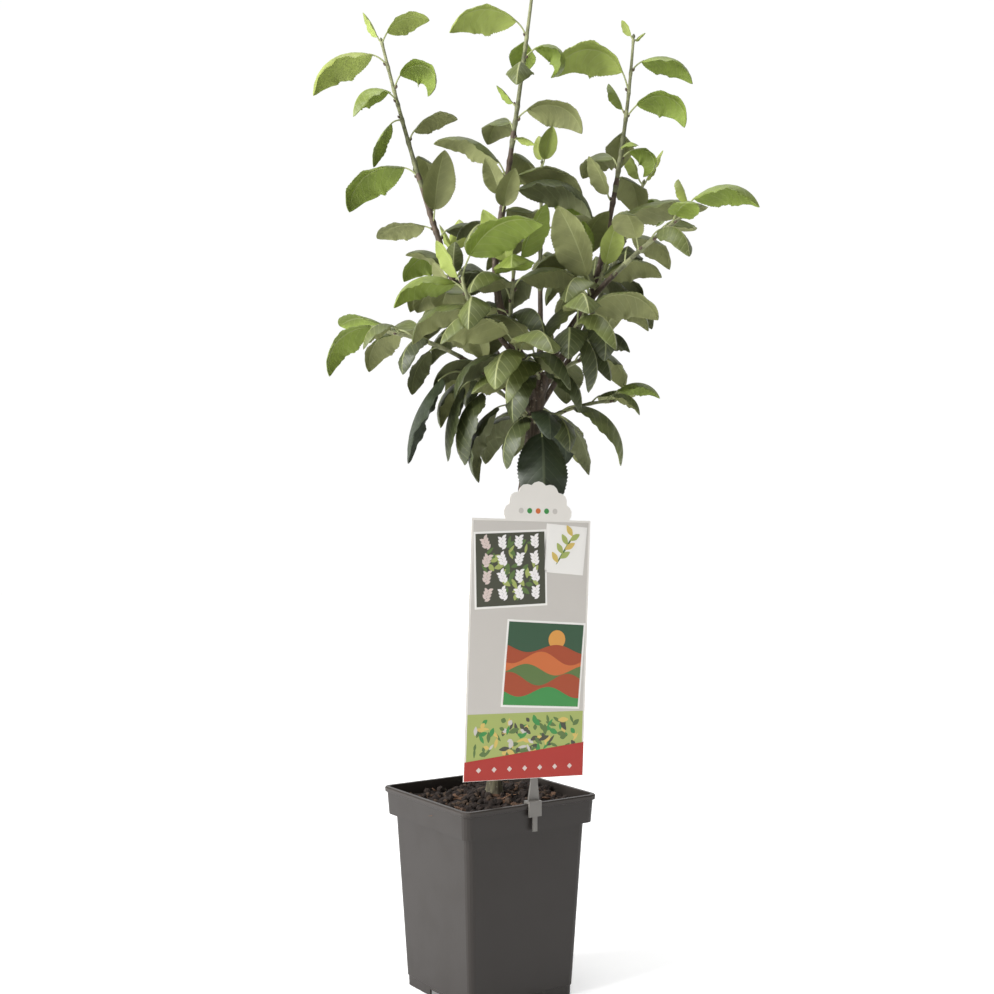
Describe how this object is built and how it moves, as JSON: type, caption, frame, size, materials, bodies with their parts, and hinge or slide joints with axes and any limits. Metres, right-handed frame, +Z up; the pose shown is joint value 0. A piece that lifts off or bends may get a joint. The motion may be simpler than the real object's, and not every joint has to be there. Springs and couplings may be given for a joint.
{
  "type": "potted_dwarf_apple_tree",
  "caption": "Young dwarf fruit tree with leafy shoots on one leaning stem, in a square nursery pot with a printed card clipped to its rim.",
  "frame": {"origin": "Middle of the pot's flat underside, on the surface that it stands on", "axes": "+Z up along the tree, -Y towards the viewer, +X to the viewer's right"},
  "size_m": [0.4318, 0.2914, 1.0173],
  "materials": {
    "pot_plastic": "satin",
    "compost": "rough",
    "bark": "matte",
    "leaf_green": "matte",
    "card_print": "satin",
    "clip_plastic": "satin"
  },
  "bodies": {
    "root": {"pot": "pot_plastic", "soil": "compost", "label_card": "card_print", "label_clip": "clip_plastic", "trunk": "bark", "bough_middle": "bark", "bough_left": "bark", "bough_right": "bark", "bough_rear": "bark", "bough_front_left": "bark", "bough_low_right": "bark", "bough_low_left": "bark", "bough_rear_left": "bark", "bough_rear_right": "bark", "leaves_left": "leaf_green", "leaves_middle": "leaf_green", "leaves_right": "leaf_green", "leaves_low_right": "leaf_green", "leaves_rear_right": "leaf_green", "leaves_front_left": "leaf_green", "leaves_low_left": "leaf_green", "leaves_rear_left": "leaf_green", "leaves_rear": "leaf_green", "leaves_centre": "leaf_green", "leaves_centre_right": "leaf_green", "leaves_spur_left": "leaf_green", "leaves_spur_left_rear": "leaf_green", "leaves_spur_right": "leaf_green", "leaves_spur_right_rear": "leaf_green", "leaves_spur_front": "leaf_green", "leaves_spur_low_right": "leaf_green", "leaves_spur_centre": "leaf_green", "leaves_spur_low_left": "leaf_green", "leaves_spur_rear_left": "leaf_green", "leaves_spur_rear_right": "leaf_green", "leaves_skirt_left": "leaf_green", "leaves_skirt_right": "leaf_green", "leaves_skirt_front": "leaf_green", "leaves_skirt_rear": "leaf_green"}
  },
  "joints": []
}
